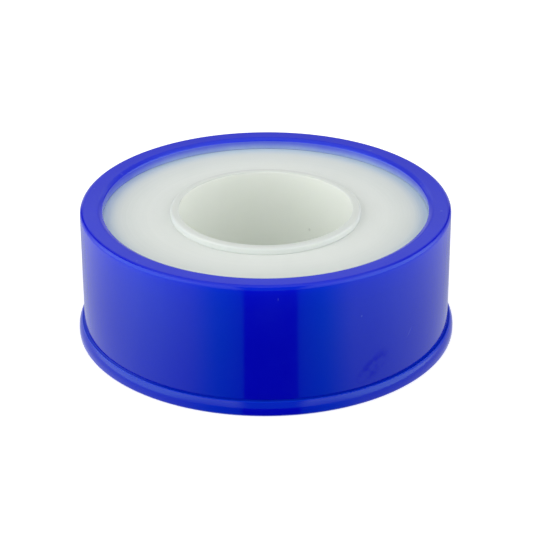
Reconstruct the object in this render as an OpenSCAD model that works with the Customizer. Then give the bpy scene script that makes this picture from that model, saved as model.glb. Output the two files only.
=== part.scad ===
// Thread seal tape roll: a long strip wound on a plain core, held in a case of two snapped rings.
// The cover pulls straight up off the base, and the wound roll turns freely inside the case.
// The origin is the centre of the base's underside, and +Z points up through the cover.

/* [Tape] */
// Width of the strip
tape_width = 12; // [6:0.5:25]
// Thickness of the strip
tape_thickness = 0.075; // [0.05:0.005:0.2]
// Length of the strip on a full roll, in metres
tape_length = 10; // [5:0.5:20]
// How far round the roll the outermost turn goes before its free end, in degrees
outer_turn = 344; // [200:1:350]
// How far the free end stands off the roll
tail_lift = 0.15; // [0.02:0.01:0.3]
// Length of the free end that stands off the roll, in degrees
tail_angle = 50; // [20:5:120]
// Rounding of the wound roll's outer edges
roll_edge = 0.12; // [0.05:0.01:0.3]

/* [Core] */
// Bore of the core
core_bore = 19.2; // [12:0.1:30]
// Wall of the core
core_wall = 0.94; // [0.6:0.02:2]
// How far each end of the core stands out past the tape
core_stand = 0.75; // [0.1:0.05:0.9]
// Rounding of the core's end edges
core_edge = 0.26; // [0.05:0.01:0.28]

/* [Base] */
// Thickness of the base ring
base_thickness = 1.65; // [1.2:0.05:3]
// How far the base's rim stands out past the cover's sleeve
rim_out = 0.62; // [0.3:0.02:2]
// Rounding of the rim's upper edge
rim_edge = 0.46; // [0.1:0.02:0.58]
// Rounding of the rim's foot, where it stands on the table
rim_foot = 0.34; // [0.1:0.02:0.58]
// Wall of the spigot that the cover slides over
spigot_wall = 0.5; // [0.45:0.05:1.2]
// Height of the spigot above the base ring
spigot_rise = 4.5; // [3:0.5:5.5]
// Lead-in chamfer on the spigot's top edge
spigot_chamfer = 0.25; // [0.1:0.05:0.4]

/* [Cover] */
// Wall of the cover's sleeve
sleeve_wall = 0.82; // [0.6:0.02:2]
// Thickness of the cover's lip
lip_thickness = 1.2; // [0.9:0.05:2]
// Rounding between the sleeve and the lip's top face
shoulder_edge = 0.52; // [0.1:0.02:0.58]
// Rounding of the sleeve's bottom edges
sleeve_edge = 0.06; // [0.04:0.02:0.26]

/* [Shared by base and cover] */
// How far each lip reaches in over the full roll
lip_overlap = 0.7; // [0.2:0.05:1]
// Width of the bevel round both lips' openings
bevel_width = 0.5; // [0.2:0.05:0.8]
// How far that bevel falls towards the roll
bevel_drop = 0.25; // [0.1:0.05:0.5]
// Rounding of both lips' edges next to the roll
lip_edge = 0.12; // [0.05:0.01:0.3]
// Height of the snap bead's middle above the base ring
snap_rise = 3.2; // [2:0.1:3.5]
// How far the snap bead stands out of the spigot
bead_height = 0.05; // [0.02:0.01:0.1]
// Radius of the snap bead's round back
bead_round = 0.2; // [0.12:0.02:0.24]

/* [Clearances] */
// Gap under the roll, above the base ring
seat_gap = 0.1; // [0.05:0.05:0.5]
// Gap over the roll, below the cover's lip
head_gap = 0.05; // [0.05:0.05:1]
// Gap between the free end of the tape and the spigot
turning_gap = 0.15; // [0.1:0.05:1]
// Gap between the spigot and the sleeve
slide_gap = 0.08; // [0.04:0.01:0.2]
// Gap between the sleeve's bottom edge and the base ring
seam_gap = 0.03; // [0.02:0.01:0.3]
// Gap between the snap bead and its groove
snap_gap = 0.06; // [0.02:0.01:0.2]
// Gap between the core and the wound tape
wrap_gap = 0.02; // [0.01:0.01:0.1]
// Gap between the wound roll and its outermost turn
lay_gap = 0.03; // [0.02:0.01:0.1]

/* [Hidden] */
$fn = 180;
case_blue = "#0d23bd";
core_white = "#eef1ec";
tape_white = "#f6f7f5";
mm_per_m = 1000;
// Degrees between the points of the outermost turn
turn_step = 4;

// Radii, worked out from the core to the rim
core_ir = core_bore / 2;
core_or = core_ir + core_wall;
pack_ir = core_or + wrap_gap;
pack_or = sqrt(pow(pack_ir, 2) + tape_length * mm_per_m * tape_thickness / PI);
turn_ir = pack_or + lay_gap;
tail_or = turn_ir + tape_thickness + tail_lift;
lip_ir = pack_or - lip_overlap;
spigot_ir = tail_or + turning_gap;
spigot_or = spigot_ir + spigot_wall;
sleeve_ir = spigot_or + slide_gap;
sleeve_or = sleeve_ir + sleeve_wall;
rim_or = sleeve_or + rim_out;

// Heights, worked out from the base to the lip
spigot_top = base_thickness + spigot_rise;
snap_z = base_thickness + snap_rise;
sleeve_bottom = base_thickness + seam_gap;
tape_bottom = base_thickness + seat_gap;
tape_top = tape_bottom + tape_width;
core_bottom = tape_bottom - core_stand;
core_top = tape_top + core_stand;
lip_bottom = tape_top + head_gap;
case_top = lip_bottom + lip_thickness;

// A rectangle of a turned profile, from radius r0 to r1 and from height z0 to z1
module band(r0, r1, z0, z1) {
    translate([r0, z0]) square([r1 - r0, z1 - z0]);
}

// What a rounding takes off the corner at (r, z) of a profile that lies towards (to_r, to_z)
module corner_cut(r, z, radius, to_r, to_z) {
    spill = radius / 4;
    translate([r, z]) mirror([to_r < 0 ? 1 : 0, 0]) mirror([0, to_z < 0 ? 1 : 0])
        difference() {
            translate([-spill, -spill]) square(radius + spill);
            translate([radius, radius]) circle(radius);
        }
}

// What a flat bevel takes off the corner at (r, z) of a profile that lies towards (to_r, to_z)
module bevel_cut(r, z, width, drop, to_r, to_z) {
    spill = 1 / 4;
    reach = 1 + spill;
    translate([r, z]) mirror([to_r < 0 ? 1 : 0, 0]) mirror([0, to_z < 0 ? 1 : 0]) scale([width, drop])
        polygon([[-spill, -spill], [reach, -spill], [-spill, reach]]);
}

// The round back of the snap bead, grown by a clearance where it is the groove that takes the bead
module snap_round(r_back, clearance) {
    translate([r_back + bead_height - bead_round, snap_z]) circle(bead_round + clearance);
}

module case_base() {
    color(case_blue) rotate_extrude() difference() {
        union() {
            band(lip_ir, rim_or, 0, base_thickness);
            band(spigot_ir, spigot_or, 0, spigot_top);
            snap_round(spigot_or, 0);
        }
        corner_cut(rim_or, 0, rim_foot, -1, 1);
        corner_cut(rim_or, base_thickness, rim_edge, -1, -1);
        bevel_cut(lip_ir, 0, bevel_width, bevel_drop, 1, 1);
        corner_cut(lip_ir, base_thickness, lip_edge, 1, -1);
        bevel_cut(spigot_or, spigot_top, spigot_chamfer, spigot_chamfer, -1, -1);
    }
}

module case_cover() {
    color(case_blue) rotate_extrude() difference() {
        union() {
            band(sleeve_ir, sleeve_or, sleeve_bottom, case_top);
            band(lip_ir, sleeve_or, lip_bottom, case_top);
        }
        corner_cut(sleeve_or, case_top, shoulder_edge, -1, -1);
        bevel_cut(lip_ir, case_top, bevel_width, bevel_drop, 1, -1);
        corner_cut(lip_ir, lip_bottom, lip_edge, 1, 1);
        corner_cut(sleeve_or, sleeve_bottom, sleeve_edge, -1, 1);
        corner_cut(sleeve_ir, sleeve_bottom, sleeve_edge, 1, 1);
        snap_round(sleeve_ir, snap_gap);
    }
}

module core() {
    color(core_white) rotate_extrude() difference() {
        band(core_ir, core_or, core_bottom, core_top);
        corner_cut(core_ir, core_bottom, core_edge, 1, 1);
        corner_cut(core_or, core_bottom, core_edge, -1, 1);
        corner_cut(core_ir, core_top, core_edge, 1, -1);
        corner_cut(core_or, core_top, core_edge, -1, -1);
    }
}

// The turns under the outermost one, wound so tight that they make one plain ring
module tape_pack() {
    color(tape_white) rotate_extrude() difference() {
        band(pack_ir, pack_or, tape_bottom, tape_top);
        corner_cut(pack_or, tape_bottom, roll_edge, -1, 1);
        corner_cut(pack_or, tape_top, roll_edge, -1, -1);
    }
}

// Radius of the outermost turn's inner face at an angle: close to the roll, then lifting along the free end
function turn_radius(angle) =
    let (along_tail = max(0, (angle - outer_turn + tail_angle) / tail_angle))
    turn_ir + tail_lift * pow(along_tail, 2);

// A point of the outermost turn, at an offset out from its inner face
function turn_point(angle, offset) =
    (turn_radius(angle) + offset) * [cos(angle), sin(angle)];

turn_count = ceil(outer_turn / turn_step);
turn_angles = [for (i = [0 : turn_count]) outer_turn * i / turn_count];

// The outermost turn is one strip that follows the roll once and ends free
module tape_outer_turn() {
    inner = [for (a = turn_angles) turn_point(a, 0)];
    outer = [for (i = [turn_count : -1 : 0]) turn_point(turn_angles[i], tape_thickness)];
    color(tape_white) translate([0, 0, tape_bottom])
        linear_extrude(tape_width) polygon(concat(inner, outer));
}

// The least gap of the outermost turn to itself, between points at least half a turn apart
turn_self_gap = min([
    for (a = turn_angles) for (b = turn_angles)
        if (b - a >= 180) norm(turn_point(a, tape_thickness) - turn_point(b, 0))
]);
echo(turn_self_gap_mm = turn_self_gap, roll_diameter_mm = 2 * pack_or, case_height_mm = case_top,
    rim_diameter_mm = 2 * rim_or, sleeve_diameter_mm = 2 * sleeve_or, lip_bore_mm = 2 * lip_ir);

case_base();
case_cover();
core();
tape_pack();
tape_outer_turn();
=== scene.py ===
"""Thread seal tape roll: white film wound on a white core, in a glossy blue case of two snapped rings.

Everything is in metres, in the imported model's own frame: the origin is the centre of the base's underside,
+Z points up through the cover, and the camera looks along +Y. Each sub-assembly is a class that turns its
outlines into meshes, dresses them in a finish and lets them ride on the CAD body that they belong to.
"""

from __future__ import annotations

import logging
import math
import random
from dataclasses import dataclass, field
from enum import Enum
from typing import Sequence

import bmesh
import bpy
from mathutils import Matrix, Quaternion, Vector

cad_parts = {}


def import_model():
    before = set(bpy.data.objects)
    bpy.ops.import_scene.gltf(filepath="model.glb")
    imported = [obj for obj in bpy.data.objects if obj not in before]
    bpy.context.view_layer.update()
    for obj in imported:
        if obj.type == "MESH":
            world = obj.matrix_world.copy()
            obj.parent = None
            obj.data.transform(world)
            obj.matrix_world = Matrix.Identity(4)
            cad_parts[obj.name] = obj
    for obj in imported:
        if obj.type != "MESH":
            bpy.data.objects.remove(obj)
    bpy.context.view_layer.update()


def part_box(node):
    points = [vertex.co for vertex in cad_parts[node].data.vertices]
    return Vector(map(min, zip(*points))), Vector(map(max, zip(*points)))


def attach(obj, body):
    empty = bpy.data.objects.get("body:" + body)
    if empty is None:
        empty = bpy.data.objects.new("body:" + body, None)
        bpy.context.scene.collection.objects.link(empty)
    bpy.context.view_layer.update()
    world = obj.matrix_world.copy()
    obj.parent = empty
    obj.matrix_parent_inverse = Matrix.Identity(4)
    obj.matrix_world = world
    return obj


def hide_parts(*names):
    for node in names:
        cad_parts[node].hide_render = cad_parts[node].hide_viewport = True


MM = 0.001
IMAGE_SIDE_PX = 533
RELIEF_DEPTH = 0.02 * MM
FACE_WEIGHT = 100
MIX_FIRST, MIX_SECOND, MIX_RESULT = 6, 7, 2
LOG = logging.getLogger("tape_roll")

Socket = bpy.types.NodeSocket
Shade = tuple[float, float, float]
Range = tuple[float, float]
Inputs = dict[str | int, object]
Stops = Sequence[Range]


def mm(*lengths: float) -> tuple[float, ...]:
    """Returns lengths in millimetres as metres."""
    return tuple(length * MM for length in lengths)


class Body(Enum):
    """The bodies that pieces ride on."""

    BASE = "base"
    COVER = "cover"
    ROLL = "roll"


class Slot(Enum):
    """The record's material slots."""

    CASE = "case_blue"
    CORE = "core_white"
    TAPE = "tape_white"


class RayKind(Enum):
    """The rays that see the white surroundings, named as Light Path names them."""

    CAMERA = "Is Camera Ray"
    GLOSSY = "Is Glossy Ray"
    TRANSMISSION = "Is Transmission Ray"


class Board:
    """A node tree that is wired up by plain calls."""

    def __init__(self, tree: bpy.types.NodeTree) -> None:
        """Starts from a material's or a world's node tree, which is emptied."""
        self.tree = tree
        tree.nodes.clear()

    def add(self, kind: str, inputs: Inputs | None = None, **settings: object) -> bpy.types.Node:
        """Adds a node.

        Args:
            kind: The node's type name.
            inputs: Values or sockets for its inputs, by name or number.
            settings: Attributes of the node itself.

        Returns:
            The new node.
        """
        node = self.tree.nodes.new(kind)
        for name, value in settings.items():
            setattr(node, name, value)
        for key, value in (inputs or {}).items():
            self.feed(node.inputs[key], value)
        return node

    def feed(self, socket: Socket, value: object) -> None:
        """Links a socket into an input, or sets the input's own value.

        Args:
            socket: The input.
            value: A socket to link, a number, or a colour or vector.
        """
        if isinstance(value, bpy.types.NodeSocket):
            self.tree.links.new(value, socket)
        elif isinstance(value, tuple) and socket.type == "RGBA":
            socket.default_value = (*value, 1.0)
        else:
            socket.default_value = value

    def math(self, operation: str, first: object, second: object = 0.0, clamp: bool = False) -> Socket:
        """Returns what a Math node makes of two values or sockets, kept from 0 to 1 if clamp is set."""
        node = self.add("ShaderNodeMath", {0: first, 1: second}, operation=operation, use_clamp=clamp)
        return node.outputs[0]

    def grade(self, value: Socket, low: float, high: float, to_low: float = 0, to_high: float = 1) -> Socket:
        """Returns a value graded smoothly from the range low to high into the range to_low to to_high."""
        inputs = {"Value": value, "From Min": low, "From Max": high, "To Min": to_low, "To Max": to_high}
        return self.add("ShaderNodeMapRange", inputs, interpolation_type="SMOOTHSTEP").outputs["Result"]

    def mix(self, factor: object, first: object, second: object, blend: str = "MIX") -> Socket:
        """Mixes two colours.

        Args:
            factor: How much of the second colour shows.
            first: The first colour or socket.
            second: The second colour or socket.
            blend: The node's way of mixing.

        Returns:
            The mixed colour's socket.
        """
        node = self.add("ShaderNodeMix", {"Factor": factor}, data_type="RGBA", blend_type=blend)
        self.feed(node.inputs[MIX_FIRST], first)
        self.feed(node.inputs[MIX_SECOND], second)
        return node.outputs[MIX_RESULT]

    def noise(self, vector: Socket, scale: float, detail: float = 2.0, roughness: float = 0.5) -> Socket:
        """Returns soft noise, about 0.5 in the middle, of about so many features per metre."""
        inputs = {"Vector": vector, "Scale": scale, "Detail": detail, "Roughness": roughness}
        return self.add("ShaderNodeTexNoise", inputs).outputs["Fac"]

    def place(self) -> Socket:
        """Returns the piece's own Object coordinates, in metres."""
        return self.add("ShaderNodeTexCoord").outputs["Object"]

    def radius(self, place: Socket) -> Socket:
        """Returns how far a place is from the Z axis."""
        flat = self.add("ShaderNodeVectorMath", {0: place, 1: (1.0, 1.0, 0.0)}, operation="MULTIPLY")
        return self.add("ShaderNodeVectorMath", {0: flat.outputs[0]}, operation="LENGTH").outputs["Value"]

    def axes(self, place: Socket) -> bpy.types.NodeOutputs:
        """Returns a place's X, Y and Z."""
        return self.add("ShaderNodeSeparateXYZ", {"Vector": place}).outputs

    def raised(self, height: Socket, strength: float) -> Socket:
        """Returns the normal of a surface that a height, from 0 to 1, raises in fine relief."""
        inputs = {"Height": height, "Strength": strength, "Distance": RELIEF_DEPTH}
        return self.add("ShaderNodeBump", inputs).outputs["Normal"]

    def ramp(self, share: Socket, stops: Stops) -> tuple[Socket, float]:
        """Grades a grey along a ramp.

        Args:
            share: The place along the ramp, from 0 to 1.
            stops: Places along the ramp and their brightness, in order, the first at 0 and the last at 1.

        Returns:
            The ramp's colour socket, and the brightness that its white stands for.
        """
        node = self.add("ShaderNodeValToRGB", {"Fac": share})
        elements = node.color_ramp.elements
        brightest = max(shade for _, shade in stops)
        greys = [(shade / brightest, shade / brightest, shade / brightest, 1.0) for _, shade in stops]
        for (position, _), grey in list(zip(stops, greys))[1:-1]:
            elements.new(position).color = grey
        elements[0].color = greys[0]
        elements[len(elements) - 1].color = greys[-1]
        return node.outputs["Color"], brightest

    def show(self, shader: bpy.types.Node, output: str = "ShaderNodeOutputMaterial") -> None:
        """Feeds a shader into the tree's output."""
        self.add(output, {"Surface": shader.outputs[0]})

    def surface(self, inputs: Inputs) -> None:
        """Ends the tree in a Principled surface with these inputs."""
        self.show(self.add("ShaderNodeBsdfPrincipled", inputs))

    def seen_white(self) -> Socket:
        """Returns 1 for the rays that see the white surroundings, and 0 for those that light the roll."""
        rays = self.add("ShaderNodeLightPath").outputs
        sight = rays[RayKind.CAMERA.value]
        for kind in (RayKind.GLOSSY, RayKind.TRANSMISSION):
            sight = self.math("MAXIMUM", sight, rays[kind.value])
        return sight


def new_board(name: str) -> tuple[bpy.types.Material, Board]:
    """Makes an empty node material.

    Args:
        name: The material's name.

    Returns:
        The material, and the board that wires it up.
    """
    material = bpy.data.materials.new(name)
    material.use_nodes = True
    return material, Board(material.node_tree)


@dataclass(frozen=True)
class Mark:
    """A small mark on a surface: its place, its half lengths, its turn, and how much of it is solid."""

    place: Shade
    reach: Shade
    turn: Shade = (0.0, 0.0, 0.0)
    solid: float = 0.35

    def mask(self, board: Board, place: Socket) -> Socket:
        """Masks the mark, fading towards its edge.

        Args:
            board: The material's board.
            place: The piece's coordinates.

        Returns:
            The mask's socket.
        """
        inputs = {"Vector": place, "Location": self.place, "Rotation": self.turn, "Scale": self.reach}
        local = board.add("ShaderNodeMapping", inputs, vector_type="TEXTURE").outputs["Vector"]
        away = board.add("ShaderNodeVectorMath", {0: local}, operation="LENGTH").outputs["Value"]
        return board.grade(away, self.solid, 1.0, 1.0, 0.0)


@dataclass(frozen=True)
class CasePlastic:
    """Glossy royal blue moulded plastic, with flow marks, handling haze, hairlines, nicks, dust and a smudge.

    Its colour carries painted light and shade: it is lighter along its edges and towards the top over the
    white tape, for the blue light that the plastic lets through and the light that falls from above, and
    darker low down over the spigot. The lips' inner faces carry a painted reflection of the white film. The
    groove above the rim has painted shade, as duller gloss, and painted blue bounce light in its colour,
    paler at the left. The smudge dulls the gloss in streaks. The gloss is tinted, because so deep a blue
    takes the red out of a faint reflection.
    """

    # deep and light are the shaded and lit blues of one plastic, and painted light is graded between them.
    deep: Shade = (0.0004, 0.0006, 0.46)
    light: Shade = (0.0010, 0.0040, 0.72)
    pale: Shade = (0.34, 0.42, 0.78)
    # The white film's painted reflection and bounce light on the lips' inner walls.
    painted_film_reflection: Shade = (0.52, 0.65, 0.73)
    # The groove's two colours are painted blue bounce light, and the second, paler one lies at the left.
    groove: Shade = (0.002, 0.028, 0.60)
    painted_fill_light: Shade = (0.048, 0.092, 0.70)
    tint: Shade = (0.50, 0.95, 1.0)
    refraction: float = 1.49
    gloss: float = 0.09
    haze: float = 0.06
    specular: float = 0.45
    dull_specular: float = 0.12
    smudge_share: float = 0.60
    flow_scale: float = 90.0
    flow_share: Range = (0.9, 1.1)
    haze_scale: float = 260.0
    dust_scale: float = 520.0
    dust_edge: Range = (0.04, 0.09)
    dust_rarity: float = 0.982
    dust_share: float = 0.14
    nick_share: float = 0.10
    smudge_scale: float = 1000.0
    smudge_streaks: Range = (0.40, 0.62)
    reflection_radius: Range = mm(18.03, 18.06)
    reflection_reach: Range = mm(6.25, 7.15)
    reflection_fade: Range = (0.56, 0.16)
    reflection_patches: Range = (0.85, 1.15)
    reflection_lean: Range = mm(-17.0, -9.0)
    reflection_share: Range = (0.55, 1.15)
    thin_edge: Range = mm(18.50, 18.62)
    bevel_share: float = 0.02
    groove_foot: Range = mm(1.55, 1.62)
    groove_top: Range = mm(1.70, 1.80)
    # Reaches of the paler painted light at the left and of the wider painted shade at the right.
    fill_light_reach: Range = mm(-17.5, -10.0)
    widening_reach: Range = mm(13.0, 19.5)
    widening: float = 0.14 * MM
    ripple_scale: float = 380.0
    ripple_height: float = 0.5
    hair_scale: float = 700.0
    hair_turn: Shade = (0.3, 0.5, 0.2)
    hair_stretch: Shade = (9.0, 0.25, 0.25)
    hair_edge: Range = (0.66, 0.72)
    hair_height: float = 0.12
    dust_height: float = 2.0
    relief: float = 0.10
    case_height: float = 15.0 * MM
    # Painted light and shade by height, as shares from deep to light: lighter on the rim and towards the top,
    # darkest low on the sleeve.
    painted_light_by_height: Stops = (
        (0.00, 0.16),
        (0.105, 0.16),
        (0.112, 0.02),
        (0.40, 0.05),
        (0.55, 0.09),
        (0.80, 0.26),
        (0.93, 0.50),
        (0.966, 0.75),
        (0.996, 0.80),
        (1.00, 0.94),
    )
    nicks: tuple[Mark, ...] = (
        Mark(mm(-16.36, 8.17, 14.98), mm(0.30, 0.18, 0.2)),
        Mark(mm(12.24, 14.50, 14.99), mm(0.34, 0.16, 0.2)),
        Mark(mm(17.52, 5.12, 14.98), mm(0.16, 0.26, 0.2)),
        Mark(mm(19.27, -2.34, 15.00), mm(0.20, 0.24, 0.2)),
        Mark(mm(9.95, -17.95, 10.26), mm(0.14, 0.14, 0.16)),
        Mark(mm(1.25, -20.48, 13.57), mm(0.08, 0.08, 0.24)),
        Mark(
            mm(15.30, -13.68, 6.10),
            mm(0.06, 0.06, 0.90),
            (0.0, math.radians(39.0), math.radians(48.0)),
        ),
    )
    smudge: Mark = Mark(
        mm(11.30, -17.13, 3.85),
        mm(1.6, 1.6, 3.4),
        (0.0, math.radians(53.0), math.radians(34.5)),
    )

    def material(self) -> bpy.types.Material:
        """Returns the finish as a material."""
        material, board = new_board("case_plastic")
        place = board.place()
        flow = board.noise(place, self.flow_scale, detail=3.0)
        haze = board.noise(place, self.haze_scale, detail=6.0, roughness=0.65)
        dust = self.dust_mask(board, place)
        streaks = board.grade(board.noise(place, self.smudge_scale, detail=3.0), *self.smudge_streaks)
        wiped = board.math("MULTIPLY", self.smudge.mask(board, place), streaks)
        # Painted light: the blue is graded by height and lightened along the lips' thin edges, and the flow
        # marks vary it.
        share = board.math("DIVIDE", board.axes(place)["Z"], self.case_height)
        painted_light_and_flow, most = board.ramp(share, self.painted_light_by_height)
        painted_light_and_flow = board.math("MAXIMUM", painted_light_and_flow, board.grade(board.radius(place), *self.thin_edge, 1.0, 0.0))
        least_flow, most_flow = (most * part for part in self.flow_share)
        painted_light_and_flow = board.math("MULTIPLY", painted_light_and_flow, board.grade(flow, 0.3, 0.7, least_flow, most_flow))
        colour = board.mix(painted_light_and_flow, self.deep, self.light)
        # Painted shade and bounce light in the groove: a blue colour, paler at the left, and duller gloss.
        groove = self.painted_groove_shade_mask(board, place)
        painted_shading = board.grade(board.axes(place)["X"], *self.fill_light_reach, 1.0, 0.0)
        colour = board.mix(groove, colour, board.mix(painted_shading, self.groove, self.painted_fill_light))
        # The groove's painted shade and the real smudge both lower the specular.
        dull = board.math("MAXIMUM", groove, board.math("MULTIPLY", wiped, self.smudge_share))
        # Painted reflection: the white film's reflection and bounce light on the lips' inner walls, patchy
        # and stronger at the right.
        colour = board.mix(self.painted_reflection_mask(board, place, haze), colour, self.painted_film_reflection)
        colour = board.mix(dust, colour, self.pale)
        rough = board.math("ADD", board.grade(haze, 0.35, 0.75, self.gloss, self.gloss + self.haze), dust)
        inputs = {
            "Base Color": colour,
            "Roughness": rough,
            "IOR": self.refraction,
            "Specular IOR Level": board.grade(dull, 0.0, 1.0, self.specular, self.dull_specular),
            "Specular Tint": self.tint,
            "Normal": self.bump(board, place, dust),
        }
        board.surface(inputs)
        return material

    def dust_mask(self, board: Board, place: Socket) -> Socket:
        """Masks a few specks of dust, and the nicks.

        Args:
            board: The material's board.
            place: The piece's coordinates.

        Returns:
            The mask's socket.
        """
        cells = board.add("ShaderNodeTexVoronoi", {"Vector": place, "Scale": self.dust_scale})
        speck = board.grade(cells.outputs["Distance"], *self.dust_edge, 1.0, 0.0)
        pick = board.add("ShaderNodeSeparateColor", {"Color": cells.outputs["Color"]})
        chosen = board.math("GREATER_THAN", pick.outputs["Red"], self.dust_rarity)
        mask = board.math("MULTIPLY", board.math("MULTIPLY", speck, chosen), self.dust_share)
        for nick in self.nicks:
            chip = board.math("MULTIPLY", nick.mask(board, place), self.nick_share)
            mask = board.math("MAXIMUM", mask, chip)
        return mask

    def painted_groove_shade_mask(self, board: Board, place: Socket) -> Socket:
        """Masks the painted shade and painted blue bounce light in the groove between the sleeve and the rim.

        The band of painted shade widens towards the right.

        Args:
            board: The material's board.
            place: The piece's coordinates.

        Returns:
            The mask's socket.
        """
        height = board.axes(place)["Z"]
        wider = board.grade(board.axes(place)["X"], *self.widening_reach, 0.0, self.widening)
        above_foot = board.grade(board.math("ADD", height, wider), *self.groove_foot)
        below_top = board.grade(board.math("SUBTRACT", height, wider), *self.groove_top, 1.0, 0.0)
        return board.math("MULTIPLY", above_foot, below_top)

    def painted_reflection_mask(self, board: Board, place: Socket, haze: Socket) -> Socket:
        """Masks the painted reflection of the white film on the lips' inner walls, and paler bevels.

        Args:
            board: The material's board.
            place: The piece's coordinates.
            haze: Noise that breaks the painted reflection up.

        Returns:
            The mask's socket.
        """
        radius = board.radius(place)
        inside = board.grade(radius, *self.reflection_radius, 1.0, 0.0)
        above_middle = board.math("SUBTRACT", board.axes(place)["Z"], self.case_height / 2)
        near_tape = board.grade(board.math("ABSOLUTE", above_middle), *self.reflection_reach, *self.reflection_fade)
        wall = board.math("MULTIPLY", inside, near_tape)
        bevel = board.grade(radius, *self.thin_edge, self.bevel_share, 0.0)
        patchy = board.grade(haze, 0.2, 0.8, *self.reflection_patches)
        lean = board.grade(board.axes(place)["X"], *self.reflection_lean, *self.reflection_share)
        uneven = board.math("MULTIPLY", patchy, lean)
        return board.math("MULTIPLY", board.math("MAXIMUM", wall, bevel), uneven)

    def bump(self, board: Board, place: Socket, dust: Socket) -> Socket:
        """Raises the faint ripple of the mould, the hairlines and the dust.

        Args:
            board: The material's board.
            place: The piece's coordinates.
            dust: The dust's mask.

        Returns:
            The bumped normal's socket.
        """
        ripple = board.noise(place, self.ripple_scale, detail=1.0)
        stretch = {"Vector": place, "Rotation": self.hair_turn, "Scale": self.hair_stretch}
        lines = board.add("ShaderNodeMapping", stretch).outputs["Vector"]
        hairs = board.grade(board.noise(lines, self.hair_scale), *self.hair_edge)
        height = board.math("MULTIPLY", ripple, self.ripple_height)
        height = board.math("ADD", height, board.math("MULTIPLY", hairs, self.hair_height))
        height = board.math("ADD", height, board.math("MULTIPLY", dust, self.dust_height))
        return board.raised(height, self.relief)


@dataclass(frozen=True)
class CorePlastic:
    """Satin white moulded plastic, a little translucent, with a fine broken line where its bore begins.

    The bore is smooth and white. The ends, and in part the outer wall, are a duller white: painted shade
    where the light falls most.
    """

    white: Shade = (0.908, 0.955, 0.882)
    grey: Shade = (0.883, 0.935, 0.857)
    # Painted shade for the core's ends and outer wall.
    painted_end_shade: Shade = (0.750, 0.792, 0.750)
    line: Shade = (0.52, 0.56, 0.50)
    refraction: float = 1.46
    specular: float = 0.3
    gloss: Range = (0.41, 0.54)
    translucency: float = 0.4
    scatter: Shade = (1.0, 1.0, 0.9)
    depth: float = 0.8 * MM
    cloud_scale: float = 140.0
    cloud_share: float = 0.7
    grain_scale: float = 2600.0
    relief: float = 0.12
    bore: float = 9.6 * MM
    shade_from_bore: Range = mm(9.60, 9.66)
    shade_to_wall: Range = mm(10.42, 10.54)
    wall_shade_share: float = 0.48
    line_width: float = 0.05 * MM
    line_solid: float = 0.4
    line_breaks: Range = (0.44, 0.56)
    line_share: float = 0.5
    speck_share: float = 0.35
    speck: Mark = Mark(mm(5.06, 8.16, 7.77), mm(0.2, 0.2, 0.26))

    def material(self) -> bpy.types.Material:
        """Returns the finish as a material."""
        material, board = new_board("core_plastic")
        place = board.place()
        clouds = board.noise(place, self.cloud_scale, detail=4.0)
        grain = board.noise(place, self.grain_scale)
        colour = board.mix(board.grade(clouds, 0.3, 0.75, 0.0, self.cloud_share), self.white, self.grey)
        radius = board.radius(place)
        # Painted shade: the ends and part of the outer wall are a duller white.
        past_bore = board.grade(radius, *self.shade_from_bore)
        painted_end_shade = board.math("MULTIPLY", past_bore, board.grade(radius, *self.shade_to_wall, 1.0, self.wall_shade_share))
        colour = board.mix(painted_end_shade, colour, self.painted_end_shade)
        colour = board.mix(self.line_mask(board, place, clouds), colour, self.line)
        inputs = {
            "Base Color": colour,
            "Roughness": board.grade(clouds, 0.25, 0.75, *self.gloss),
            "IOR": self.refraction,
            "Specular IOR Level": self.specular,
            "Subsurface Weight": self.translucency,
            "Subsurface Radius": self.scatter,
            "Subsurface Scale": self.depth,
            "Normal": board.raised(grain, self.relief),
        }
        board.surface(inputs)
        return material

    def line_mask(self, board: Board, place: Socket, clouds: Socket) -> Socket:
        """Masks the broken line on the rounded edge of the bore, and a speck inside the bore.

        Args:
            board: The material's board.
            place: The piece's coordinates.
            clouds: Noise that breaks the line.

        Returns:
            The mask's socket.
        """
        past_edge = board.math("SUBTRACT", board.radius(place), self.bore + self.line_width)
        away = board.math("ABSOLUTE", past_edge)
        line = board.grade(away, self.line_width * self.line_solid, self.line_width, 1.0, 0.0)
        broken = board.grade(clouds, *self.line_breaks, 0.0, self.line_share)
        speck = board.math("MULTIPLY", self.speck.mask(board, place), self.speck_share)
        return board.math("MAXIMUM", board.math("MULTIPLY", line, broken), speck)


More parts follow.
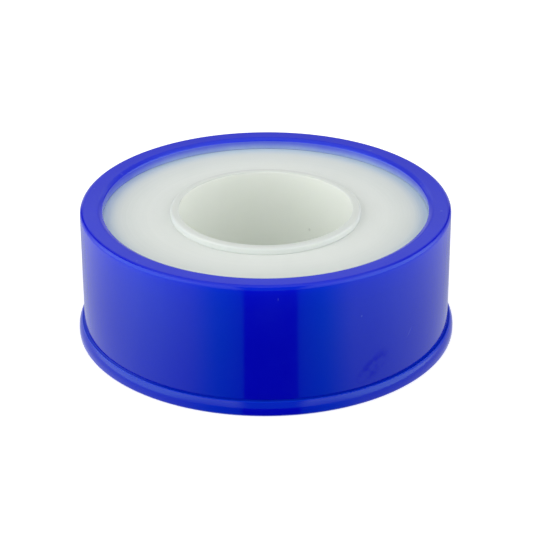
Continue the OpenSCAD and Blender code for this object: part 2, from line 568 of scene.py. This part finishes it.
@dataclass(frozen=True)
class TapeFilm:
    """Soft waxy white film. Fine lines follow each turn, both edge on and along the outside of the roll.

    Its colour carries painted shade: the film is whitest near the core and greyer outwards, in the lip's
    shade, and next to the case it takes a painted blue shade, for the lip's shade and its blue bounce light.
    """

    white: Shade = (0.847, 0.891, 0.845)
    shade: Shade = (0.772, 0.823, 0.780)
    # Painted blue shade next to the case.
    painted_blue_shade: Shade = (0.55, 0.70, 0.775)
    painted_shading: Range = mm(12.5, 16.5)
    casing: Range = mm(15.6, 18.3)
    cast_falloff: float = 1.5
    refraction: float = 1.36
    gloss: Range = (0.48, 0.58)
    translucency: float = 0.5
    scatter: Shade = (1.0, 1.0, 1.0)
    depth: float = 0.6 * MM
    cloud_scale: float = 120.0
    mottle: Range = (-0.2, 0.2)
    line_scale: float = 3800.0
    drift: float = 0.004
    relief: float = 0.15

    def material(self) -> bpy.types.Material:
        """Returns the finish as a material."""
        material, board = new_board("tape_film")
        place = board.place()
        lines = self.turn_lines(board, place)
        clouds = board.noise(place, self.cloud_scale, detail=4.0)
        radius = board.radius(place)
        mottle = board.grade(board.math("ADD", lines, clouds), 0.6, 1.4, *self.mottle)
        # Painted shade: greyer away from the core towards the lip, with random mottle added.
        shade_and_mottle = board.math("ADD", board.grade(radius, *self.painted_shading), mottle, clamp=True)
        colour = board.mix(shade_and_mottle, self.white, self.shade)
        # Painted shade and blue bounce light next to the case.
        painted_cast_share = board.math("POWER", board.grade(radius, *self.casing), self.cast_falloff)
        colour = board.mix(painted_cast_share, colour, self.painted_blue_shade)
        inputs = {
            "Base Color": colour,
            "Roughness": board.grade(lines, 0.3, 0.7, *self.gloss),
            "IOR": self.refraction,
            "Subsurface Weight": self.translucency,
            "Subsurface Radius": self.scatter,
            "Subsurface Scale": self.depth,
            "Normal": board.raised(lines, self.relief),
        }
        board.surface(inputs)
        return material

    def turn_lines(self, board: Board, place: Socket) -> Socket:
        """Makes lines that run round the roll: by radius on its faces, and by height on its outside.

        Args:
            board: The material's board.
            place: The piece's coordinates.

        Returns:
            The lines' socket, about 0.5 in the middle.
        """
        axes = board.axes(place)
        drift = board.math("MULTIPLY", axes["X"], self.drift)
        along = {"X": board.radius(place), "Y": drift, "Z": axes["Z"]}
        line_place = board.add("ShaderNodeCombineXYZ", along).outputs["Vector"]
        return board.noise(line_place, self.line_scale, detail=3.0, roughness=0.6)


def spin_round(bm: bmesh.types.BMesh, steps: int, angle: float = math.tau, merge: bool = False) -> dict:
    """Spins all that a mesh holds around Z.

    Args:
        bm: The mesh.
        steps: How many steps it is spun in.
        angle: How far round it is spun.
        merge: Whether the end of a full turn is merged with its start.

    Returns:
        What the operator reports.
    """
    return bmesh.ops.spin(
        bm,
        geom=bm.verts[:] + bm.edges[:],
        cent=(0.0, 0.0, 0.0),
        axis=(0.0, 0.0, 1.0),
        angle=angle,
        steps=steps,
        use_merge=merge,
    )


@dataclass(frozen=True)
class Corner:
    """A corner of a turned outline: its radius, its height and how much it is rounded."""

    radius: float
    height: float
    rounding: float = 0.0


@dataclass(frozen=True)
class Lathe:
    """Turns closed outlines around Z into smooth shells."""

    steps: int = 288
    round_steps: int = 7

    def turn(self, corners: Sequence[Corner]) -> bmesh.types.BMesh:
        """Rounds an outline's corners and turns it once round.

        Args:
            corners: The outline, in order.

        Returns:
            A closed mesh with its faces pointing outwards.
        """
        bm = bmesh.new()
        verts = [bm.verts.new((corner.radius, 0.0, corner.height)) for corner in corners]
        for start, end in zip(verts, verts[1:] + verts[:1]):
            bm.edges.new((start, end))
        for vert, corner in zip(verts, corners):
            if corner.rounding > 0.0:
                bmesh.ops.bevel(
                    bm,
                    geom=[vert],
                    offset=corner.rounding,
                    offset_type="OFFSET",
                    segments=self.round_steps,
                    profile=0.5,
                    affect="VERTICES",
                    material=-1,
                )
        spin_round(bm, self.steps, merge=True)
        bmesh.ops.recalc_face_normals(bm, faces=bm.faces[:])
        return bm


@dataclass(frozen=True)
class Fitting:
    """Says which CAD node a piece stands for and which body it rides on; its slot is kept but not used."""

    node: str
    body: Body
    slot: Slot

    def mount(self, name: str, bm: bmesh.types.BMesh, finish: bpy.types.Material) -> bpy.types.Object:
        """Makes a mesh into a finished piece of the roll.

        Args:
            name: The piece's name.
            bm: Its mesh, which is freed.
            finish: Its material.

        Returns:
            The piece's object.
        """
        mesh = bpy.data.meshes.new(name)
        bm.to_mesh(mesh)
        bm.free()
        mesh.shade_smooth()
        mesh.materials.append(finish)
        piece = bpy.data.objects.new(name, mesh)
        bpy.context.scene.collection.objects.link(piece)
        normals = piece.modifiers.new("even_normals", "WEIGHTED_NORMAL")
        normals.weight = FACE_WEIGHT
        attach(piece, self.body.value)
        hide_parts(self.node)
        LOG.info("%s stands for %s on %s: %d faces", name, self.node, self.body.value, len(mesh.polygons))
        return piece


@dataclass
class SnapCase:
    """The two blue rings of the case: a cover with a lip, and a base with a rim and a spigot."""

    lip_overlap: float = 0.7 * MM
    lip_thickness: float = 1.242 * MM
    lip_edge: float = 0.03 * MM
    bevel_width: float = 0.5 * MM
    bevel_drop: float = 0.25 * MM
    bevel_round: float = 0.16 * MM
    shoulder_edge: float = 0.52 * MM
    sleeve_wall: float = 0.82 * MM
    sleeve_edge: float = 0.10 * MM
    rim_slope: Range = mm(0.38, 0.42)
    rim_crest: float = 0.45 * MM
    rim_round: float = 0.55 * MM
    rim_groove: float = 0.028 * MM
    rim_foot: float = 0.34 * MM
    base_thickness: float = 1.65 * MM
    spigot_wall: float = 0.5 * MM
    spigot_chamfer: float = 0.25 * MM
    slide_gap: float = 0.08 * MM
    snap_rise: float = 3.2 * MM
    snap_depth: float = 0.05 * MM
    snap_reach: float = 0.22 * MM
    inner_fillet: float = 0.08 * MM
    lathe: Lathe = field(default_factory=Lathe)

    def build(self, finish: bpy.types.Material) -> None:
        """Makes both rings in the blue plastic."""
        Fitting("case_cover", Body.COVER, Slot.CASE).mount("cover_shell", self.turn_cover(), finish)
        Fitting("case_base", Body.BASE, Slot.CASE).mount("base_ring", self.turn_base(), finish)

    def lip_radius(self) -> float:
        """Returns the radius of both lips' openings, which keep the roll in."""
        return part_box("tape_pack")[1].x - self.lip_overlap

    def turn_cover(self) -> bmesh.types.BMesh:
        """Turns the cover: a sleeve with an inward lip, bevelled round its opening, and a snap groove.

        Returns:
            The cover's mesh.
        """
        low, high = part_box("case_cover")
        outside = high.x
        inside = outside - self.sleeve_wall
        lip = self.lip_radius()
        lip_low = high.z - self.lip_thickness
        groove = self.base_thickness + self.snap_rise
        corners = [
            Corner(outside, low.z, self.sleeve_edge),
            Corner(outside, high.z, self.shoulder_edge),
            Corner(lip + self.bevel_width, high.z, self.bevel_round),
            Corner(lip, high.z - self.bevel_drop, self.bevel_round),
            Corner(lip, lip_low, self.lip_edge),
            Corner(inside, lip_low, self.inner_fillet),
            Corner(inside, groove + self.snap_reach),
            Corner(inside + 2 * self.snap_depth, groove, self.snap_reach / 2),
            Corner(inside, groove - self.snap_reach),
            Corner(inside, low.z, self.sleeve_edge),
        ]
        return self.lathe.turn(corners)

    def turn_base(self) -> bmesh.types.BMesh:
        """Turns the base: a ring with a rounded rim, and the spigot with its snap bead.

        The rim falls off in a soft slope, and a shallow groove runs between it and the sleeve.

        Returns:
            The base's mesh.
        """
        low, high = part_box("case_base")
        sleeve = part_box("case_cover")[1].x
        spigot_out = sleeve - self.sleeve_wall - self.slide_gap
        spigot_in = spigot_out - self.spigot_wall
        ledge = low.z + self.base_thickness
        bead = ledge + self.snap_rise
        lip = self.lip_radius()
        slope_width, slope_drop = self.rim_slope
        corners = [
            Corner(lip, low.z + self.bevel_drop, self.bevel_round),
            Corner(lip + self.bevel_width, low.z, self.bevel_round),
            Corner(high.x, low.z, self.rim_foot),
            Corner(high.x, ledge - slope_drop, self.rim_round),
            Corner(high.x - slope_width, ledge, self.rim_crest),
            Corner(sleeve - self.rim_groove, ledge - self.rim_groove),
            Corner(sleeve - 2 * self.rim_groove, ledge),
            Corner(spigot_out, ledge, self.inner_fillet),
            Corner(spigot_out, bead - self.snap_reach),
            Corner(spigot_out + self.snap_depth, bead, self.snap_reach / 2),
            Corner(spigot_out, bead + self.snap_reach),
            Corner(spigot_out, high.z - self.spigot_chamfer),
            Corner(spigot_out - self.spigot_chamfer, high.z),
            Corner(spigot_in, high.z),
            Corner(spigot_in, ledge, self.inner_fillet),
            Corner(lip, ledge, self.lip_edge),
        ]
        return self.lathe.turn(corners)


@dataclass
class WoundRoll:
    """The white core, the film wound on it in one spiral, and the last turn with its free end."""

    core_wall: float = 0.94 * MM
    core_edge: float = 0.26 * MM
    bore_edge: float = 0.17 * MM
    film: float = 0.075 * MM
    ridge: float = 0.006 * MM
    unevenness: float = 0.012 * MM
    pack_steps: int = 144
    turn_angle: float = math.radians(344)
    tail_angle: float = math.radians(50)
    tail_lift: float = 0.15 * MM
    tail_wave: float = 0.03 * MM
    bed: float = 0.4
    turn_steps: int = 172
    width_steps: int = 12
    seed: int = 12
    lathe: Lathe = field(default_factory=Lathe)

    def build(self, plastic: bpy.types.Material, film: bpy.types.Material) -> None:
        """Makes the core, the wound turns and the last turn.

        Args:
            plastic: The core's finish.
            film: The tape's finish.
        """
        Fitting("core", Body.ROLL, Slot.CORE).mount("core_tube", self.turn_core(), plastic)
        Fitting("tape_pack", Body.ROLL, Slot.TAPE).mount("wound_tape", self.wind_pack(), film)
        Fitting("tape_outer_turn", Body.ROLL, Slot.TAPE).mount("tape_last_turn", self.lay_last_turn(), film)

    def turn_core(self) -> bmesh.types.BMesh:
        """Turns the core, an open tube with rounded ends.

        Returns:
            The core's mesh.
        """
        low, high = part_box("core")
        bore = high.x - self.core_wall
        corners = [
            Corner(bore, low.z, self.bore_edge),
            Corner(high.x, low.z, self.core_edge),
            Corner(high.x, high.z, self.core_edge),
            Corner(bore, high.z, self.bore_edge),
        ]
        return self.lathe.turn(corners)

    def wind_pack(self) -> bmesh.types.BMesh:
        """Winds the film: rings of ridges, one a turn, sheared into a single spiral that closes on itself.

        The winding starts a film's thickness inside the core's wall, so that its first turn meets the core.

        Returns:
            The wound turns' mesh.
        """
        low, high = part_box("tape_pack")
        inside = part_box("core")[1].x - self.film
        turns = round((high.x - inside) / self.film) - 1
        pitch = (high.x - inside) / (turns + 1)
        draw = random.Random(self.seed)
        rises = [draw.uniform(-self.unevenness, 0.0) for _ in range(turns + 2)]
        bm = bmesh.new()
        corners = [(inside, low.z), (high.x - pitch, low.z), (high.x - pitch, high.z), (inside, high.z)]
        verts = [bm.verts.new((radius, 0.0, height)) for radius, height in corners]
        edges = [bm.edges.new(pair) for pair in zip(verts, verts[1:] + verts[:1])]
        bmesh.ops.subdivide_edges(bm, edges=[edges[0], edges[2]], cuts=2 * turns - 1)
        spun = spin_round(bm, self.pack_steps)
        ends = {item for item in spun["geom_last"] if isinstance(item, bmesh.types.BMVert)}
        for vert in bm.verts:
            self.shear_into_spiral(vert, vert in ends, inside, pitch, rises, (low.z + high.z) / 2)
        bmesh.ops.remove_doubles(bm, verts=bm.verts[:], dist=pitch / 50)
        bmesh.ops.holes_fill(bm, edges=[edge for edge in bm.edges if edge.is_boundary], sides=0)
        bmesh.ops.recalc_face_normals(bm, faces=bm.faces[:])
        return bm

    def shear_into_spiral(
        self,
        vert: bmesh.types.BMVert,
        at_end: bool,
        inside: float,
        pitch: float,
        rises: Sequence[float],
        middle: float,
    ) -> None:
        """Moves a point of the spun rings out along the spiral, and gives its turn its own height.

        Args:
            vert: The point.
            at_end: Whether the point is at the end of the full turn.
            inside: The radius where the winding starts.
            pitch: How far the spiral climbs in a turn.
            rises: How far each turn stands out of the face.
            middle: The height of the roll's middle.
        """
        radius = math.hypot(vert.co.x, vert.co.y)
        share = 1.0 if at_end else (math.atan2(vert.co.y, vert.co.x) / math.tau) % 1.0
        half_steps = round(2 * (radius - inside) / pitch)
        turn = half_steps // 2
        rise = (1 - share) * rises[turn] + share * rises[turn + 1]
        if half_steps % 2 == 0:
            rise -= self.ridge
        stretch = (radius + pitch * share) / radius
        vert.co.x *= stretch
        vert.co.y *= stretch
        vert.co.z += rise if vert.co.z > middle else -rise

    def lay_last_turn(self) -> bmesh.types.BMesh:
        """Lays the last turn on the roll, from where the winding ends to the free end that stands off it.

        Returns:
            The last turn's mesh, as thick as the film.
        """
        low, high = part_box("tape_pack")
        bm = bmesh.new()
        verts = [bm.verts.new((high.x, 0.0, height)) for height in (low.z, high.z)]
        bmesh.ops.subdivide_edges(bm, edges=[bm.edges.new(verts)], cuts=self.width_steps - 1)
        spin_round(bm, self.turn_steps, self.turn_angle)
        for vert in bm.verts:
            angle = math.atan2(vert.co.y, vert.co.x) % math.tau
            along_tail = max(0.0, (angle - self.turn_angle + self.tail_angle) / self.tail_angle)
            across = (vert.co.z - low.z) / (high.z - low.z)
            climb = self.film * angle / math.tau - self.film * self.bed
            lift = self.tail_lift * along_tail**2
            wave = self.tail_wave * along_tail * math.sin(math.tau * across)
            stretch = (high.x + climb + lift + wave) / high.x
            vert.co.x *= stretch
            vert.co.y *= stretch
        bmesh.ops.recalc_face_normals(bm, faces=bm.faces[:])
        bmesh.ops.solidify(bm, geom=bm.faces[:], thickness=self.film)
        bmesh.ops.recalc_face_normals(bm, faces=bm.faces[:])
        return bm


@dataclass(frozen=True)
class Lamp:
    """A soft box: its name, where it stands, its width and height, and its power in watts."""

    name: str
    stand: Shade
    size: Range
    power: float

    def light(self, target: Vector) -> None:
        """Puts the lamp in the scene.

        Args:
            target: The point that it faces.
        """
        lamp = bpy.data.lights.new(self.name, "AREA")
        lamp.shape = "RECTANGLE"
        lamp.size, lamp.size_y = self.size
        lamp.energy = self.power
        holder = bpy.data.objects.new(self.name, lamp)
        holder.location = self.stand
        holder.rotation_euler = (target - Vector(self.stand)).to_track_quat("-Z", "Y").to_euler()
        holder.visible_glossy = False
        bpy.context.scene.collection.objects.link(holder)


@dataclass
class Studio:
    """The white floor and surroundings, the soft light, and the camera at the photograph's angle.

    What lights the roll and what its gloss shows are set apart. A dome and soft boxes give the light, and a
    graded tent and card, which only reflections see, give the gloss.
    """

    elevation: float = math.radians(26.54)
    distance: float = 233.1 * MM
    focal_px: float = 2074.9
    target: Shade = mm(0.077, 0.0, 7.112)
    roll: float = math.radians(-0.25)
    sensor: float = 36.0
    floor_side: float = 3.0
    floor_white: Shade = (0.80, 0.80, 0.80)
    floor_glow: float = 0.62
    dome_front: float = 0.92
    dome_back: float = 0.40
    dome_turn: Range = (-0.8, 0.4)
    card_reach: Range = mm(21.2, 200.0)
    card_lift: float = 0.05 * MM
    card_steps: int = 96
    card_shades: Stops = (
        (-180.0, 0.36),
        (-141.0, 0.60),
        (-124.0, 0.90),
        (-110.0, 1.09),
        (-80.0, 1.54),
        (-64.0, 1.46),
        (-39.0, 0.97),
        (-26.0, 0.70),
        (-14.2, 0.42),
        (-13.0, 0.00),
        (18.6, 0.00),
        (19.8, 0.42),
        (30.0, 0.66),
        (52.0, 1.17),
        (80.0, 1.22),
        (105.0, 1.01),
        (122.0, 0.81),
        (141.0, 0.52),
        (180.0, 0.36),
    )
    card_cool: Shade = (0.06, 1.0, 1.5)
    card_clear: Shade = (0.95, 1.0, 1.2)
    cool_middle: float = math.radians(3.0)
    cool_reach: Range = (math.radians(28.0), math.radians(52.0))
    card_fade: Range = mm(20.0, 46.0)
    card_foot: float = 0.70
    tent_radius: float = 0.45
    tent_steps: int = 64
    tent_shades: Stops = (
        (0.0, 0.75),
        (10.0, 0.68),
        (17.0, 0.55),
        (23.0, 0.42),
        (25.0, 0.48),
        (27.0, 0.75),
        (30.0, 0.80),
        (34.0, 0.60),
        (40.0, 0.48),
        (52.0, 0.52),
        (63.0, 0.95),
        (88.0, 1.20),
        (117.0, 1.80),
        (141.0, 1.80),
        (165.0, 1.30),
        (180.0, 1.00),
    )
    warm: Shade = (1.20, 0.92, 0.97)
    warm_ahead: Range = (-0.10, 0.00)
    warm_above: Range = (0.40, 0.65)
    panel_bearing: Shade = (0.916, -0.102, 0.387)
    panel_reach: Range = (0.66, 0.97)
    panel_level: float = 2.6
    gap_inside: Range = (0.42, 0.50)
    gap_outside: Range = (0.60, 0.70)
    gap_behind: Range = (0.10, 0.35)
    gap_level: float = 0.08
    stand_middle: float = 0.05
    stand_reach: Range = (0.22, 0.34)
    stand_top: Range = (-0.45, -0.30)
    stand_shade: Shade = (0.05, 0.50, 0.75)
    lamps: tuple[Lamp, ...] = (
        Lamp("softbox_left", (-0.25, -0.05, 0.13), (0.28, 0.28), 0.37),
        Lamp("softbox_right", (0.27, 0.00, 0.13), (0.28, 0.28), 0.29),
    )

    def build(self) -> None:
        """Sets up the floor, the card, the tent, the light and the camera."""
        target = Vector(self.target)
        self.lay_floor()
        self.lay_card()
        self.raise_tent()
        self.light_dome()
        for lamp in self.lamps:
            lamp.light(target)
        self.aim_camera(target)
        bpy.context.scene.view_settings.view_transform = "Standard"

    def aim_camera(self, target: Vector) -> None:
        """Puts the camera at the photograph's viewing angle.

        Args:
            target: The point in the middle of the picture.
        """
        lens = bpy.data.cameras.new("camera")
        lens.sensor_width = self.sensor
        lens.lens = self.focal_px * self.sensor / IMAGE_SIDE_PX
        lens.clip_start = MM
        camera = bpy.data.objects.new("camera", lens)
        back = Vector((0.0, -math.cos(self.elevation), math.sin(self.elevation)))
        camera.location = target + back * self.distance
        level = (-back).to_track_quat("-Z", "Y")
        camera.rotation_euler = (level @ Quaternion((0.0, 0.0, 1.0), self.roll)).to_euler()
        bpy.context.scene.collection.objects.link(camera)
        bpy.context.scene.camera = camera

    def lay_floor(self) -> None:
        """Lays the pale floor, which is white to the eye and keeps the roll's shadow."""
        material, board = new_board("floor_white")
        paper = board.add("ShaderNodeBsdfDiffuse", {"Color": self.floor_white})
        glow = board.math("MULTIPLY", board.seen_white(), self.floor_glow)
        lit = board.add("ShaderNodeEmission", {"Strength": glow})
        both = board.add("ShaderNodeAddShader", {0: paper.outputs[0], 1: lit.outputs[0]})
        board.show(both)
        bm = bmesh.new()
        bmesh.ops.create_grid(bm, x_segments=1, y_segments=1, size=self.floor_side / 2)
        self.stage_prop("floor", bm, material)

    def lay_card(self) -> None:
        """Lays a graded card round the roll for the sleeve's gloss to show, dark in the middle of the front.

        A round wall shows what lies before it as if seen from half its radius, so the shades fan out there.
        Beside the dark middle they have a cool tint.
        """
        material, board = new_board("card_shades")
        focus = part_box("case_cover")[1].x / 2
        axes = board.axes(board.place())
        ahead = board.math("SUBTRACT", -focus, axes["Y"])
        bearing = board.math("ARCTAN2", axes["X"], ahead)
        colour, strength = self.shade_by_angle(board, bearing, self.card_shades)
        from_middle = board.math("ABSOLUTE", board.math("SUBTRACT", bearing, self.cool_middle))
        clear = board.grade(from_middle, *self.cool_reach)
        colour = board.mix(1.0, colour, board.mix(clear, self.card_cool, self.card_clear), "MULTIPLY")
        near, far = self.card_fade
        fade = board.grade(board.radius(board.place()), near, far, self.card_foot * strength, strength)
        self.glow(board, colour, fade)
        bm = bmesh.new()
        bm.edges.new([bm.verts.new((reach, 0.0, self.card_lift)) for reach in self.card_reach])
        spin_round(bm, self.card_steps, merge=True)
        self.show_in_gloss_only(self.stage_prop("graded_card", bm, material))

    def raise_tent(self) -> None:
        """Raises a light tent over the table, for the gloss of the tops and the rim.

        It has a bright panel at each side with a dark gap next to it, a slightly warm upper front, and a dim,
        cool strip low at the front. Its masks take places on a tent of radius 1.
        """
        material, board = new_board("tent_shades")
        inputs = {0: board.place(), "Scale": 1.0 / self.tent_radius}
        axes = board.axes(board.add("ShaderNodeVectorMath", inputs, operation="SCALE").outputs["Vector"])
        right, behind, up = axes["X"], axes["Y"], axes["Z"]
        aside = board.math("ABSOLUTE", right)
        colour, strength = self.shade_by_angle(board, board.math("ARCTAN2", up, behind), self.tent_shades)
        bright, dark = ((level / strength,) * 3 for level in (self.panel_level, self.gap_level))
        colour = board.mix(self.panel_mask(board, aside, behind, up), colour, bright)
        warmed = board.mix(1.0, colour, self.warm, "MULTIPLY")
        colour = board.mix(self.warm_mask(board, behind, up), colour, warmed)
        colour = board.mix(self.gap_mask(board, aside, behind), colour, dark)
        stand = tuple(level / strength for level in self.stand_shade)
        self.glow(board, board.mix(self.stand_mask(board, right, behind), colour, stand), strength)
        bm = bmesh.new()
        rows = self.tent_steps // 2
        bmesh.ops.create_uvsphere(bm, u_segments=self.tent_steps, v_segments=rows, radius=self.tent_radius)
        self.show_in_gloss_only(self.stage_prop("light_tent", bm, material))

    def panel_mask(self, board: Board, aside: Socket, behind: Socket, up: Socket) -> Socket:
        """Masks the bright panel at each side of the tent, fading from its middle.

        Args:
            board: The tent's board.
            aside: How far a point of the tent is to either side.
            behind: How far it is behind the roll.
            up: How high it is.

        Returns:
            The mask's socket.
        """
        folded = board.add("ShaderNodeCombineXYZ", {"X": aside, "Y": behind, "Z": up}).outputs["Vector"]
        inputs = {0: folded, 1: self.panel_bearing}
        towards = board.add("ShaderNodeVectorMath", inputs, operation="DOT_PRODUCT").outputs["Value"]
        return board.grade(towards, *self.panel_reach)

    def warm_mask(self, board: Board, behind: Socket, up: Socket) -> Socket:
        """Masks the upper front of the tent, which is slightly warm."""
        ahead = board.grade(behind, *self.warm_ahead, 1.0, 0.0)
        return board.math("MULTIPLY", ahead, board.grade(up, *self.warm_above))

    def gap_mask(self, board: Board, aside: Socket, behind: Socket) -> Socket:
        """Masks the dark gap between the tent's roof and each side panel, behind the roll.

        Args:
            board: The tent's board.
            aside: How far a point of the tent is to either side.
            behind: How far it is behind the roll.

        Returns:
            The mask's socket.
        """
        past_roof = board.grade(aside, *self.gap_inside)
        strip = board.math("MULTIPLY", past_roof, board.grade(aside, *self.gap_outside, 1.0, 0.0))
        return board.math("MULTIPLY", strip, board.grade(behind, *self.gap_behind))

    def stand_mask(self, board: Board, right: Socket, behind: Socket) -> Socket:
        """Masks the dim, cool strip at the front of the tent, where a camera's stand would be.

        Args:
            board: The tent's board.
            right: How far a point of the tent is to the right.
            behind: How far it is behind the roll.

        Returns:
            The mask's socket.
        """
        across = board.math("ABSOLUTE", board.math("SUBTRACT", right, self.stand_middle))
        strip = board.grade(across, *self.stand_reach, 1.0, 0.0)
        return board.math("MULTIPLY", strip, board.grade(behind, *self.stand_top, 1.0, 0.0))

    def shade_by_angle(self, board: Board, angle: Socket, shades: Stops) -> tuple[Socket, float]:
        """Picks greys that follow an angle.

        Args:
            board: The material's board.
            angle: The angle's socket, in radians.
            shades: Angles in degrees and their brightness, in order.

        Returns:
            The grey's socket, and the brightness that its white stands for.
        """
        first = shades[0][0]
        span = shades[-1][0] - first
        past_first = board.math("SUBTRACT", angle, math.radians(first))
        share = board.math("DIVIDE", past_first, math.radians(span))
        return board.ramp(share, [((degrees - first) / span, shade) for degrees, shade in shades])

    def glow(self, board: Board, colour: Socket, strength: Socket | float) -> None:
        """Makes a material glow in a colour, whose white stands for a brightness."""
        board.show(board.add("ShaderNodeEmission", {"Color": colour, "Strength": strength}))

    def show_in_gloss_only(self, prop: bpy.types.Object) -> None:
        """Hides a prop from all but reflections, and keeps its glow from lighting the roll.

        Args:
            prop: The prop.
        """
        prop.visible_camera = False
        prop.visible_diffuse = False
        prop.visible_transmission = False
        prop.visible_shadow = False
        prop.data.materials[0].cycles.emission_sampling = "NONE"

    def light_dome(self) -> None:
        """Lights the roll from all round, more from the camera's side, before white surroundings."""
        world = bpy.data.worlds.new("dome")
        bpy.context.scene.world = world
        world.use_nodes = True
        board = Board(world.node_tree)
        white = (1.0, 1.0, 1.0)
        bearing = board.add("ShaderNodeTexCoord").outputs["Generated"]
        power = board.grade(board.axes(bearing)["Y"], *self.dome_turn, self.dome_front, self.dome_back)
        soft = board.add("ShaderNodeBackground", {"Color": white, "Strength": power})
        seen = board.add("ShaderNodeBackground", {"Color": white, "Strength": 1.0})
        shaders = {0: board.seen_white(), 1: soft.outputs[0], 2: seen.outputs[0]}
        both = board.add("ShaderNodeMixShader", shaders)
        board.show(both, "ShaderNodeOutputWorld")

    def stage_prop(self, name: str, bm: bmesh.types.BMesh, material: bpy.types.Material) -> bpy.types.Object:
        """Makes a mesh into a prop that isn't part of the roll.

        Args:
            name: The prop's name.
            bm: Its mesh, which is freed.
            material: Its material.

        Returns:
            The prop's object.
        """
        mesh = bpy.data.meshes.new(name)
        bm.to_mesh(mesh)
        bm.free()
        mesh.materials.append(material)
        prop = bpy.data.objects.new(name, mesh)
        bpy.context.scene.collection.objects.link(prop)
        return prop


def main() -> None:
    """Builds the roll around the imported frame, and the studio around the roll."""
    logging.basicConfig(level=logging.INFO, format="%(name)s: %(message)s")
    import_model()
    Studio().build()
    SnapCase().build(CasePlastic().material())
    WoundRoll().build(CorePlastic().material(), TapeFilm().material())


if __name__ == "__main__":
    main()
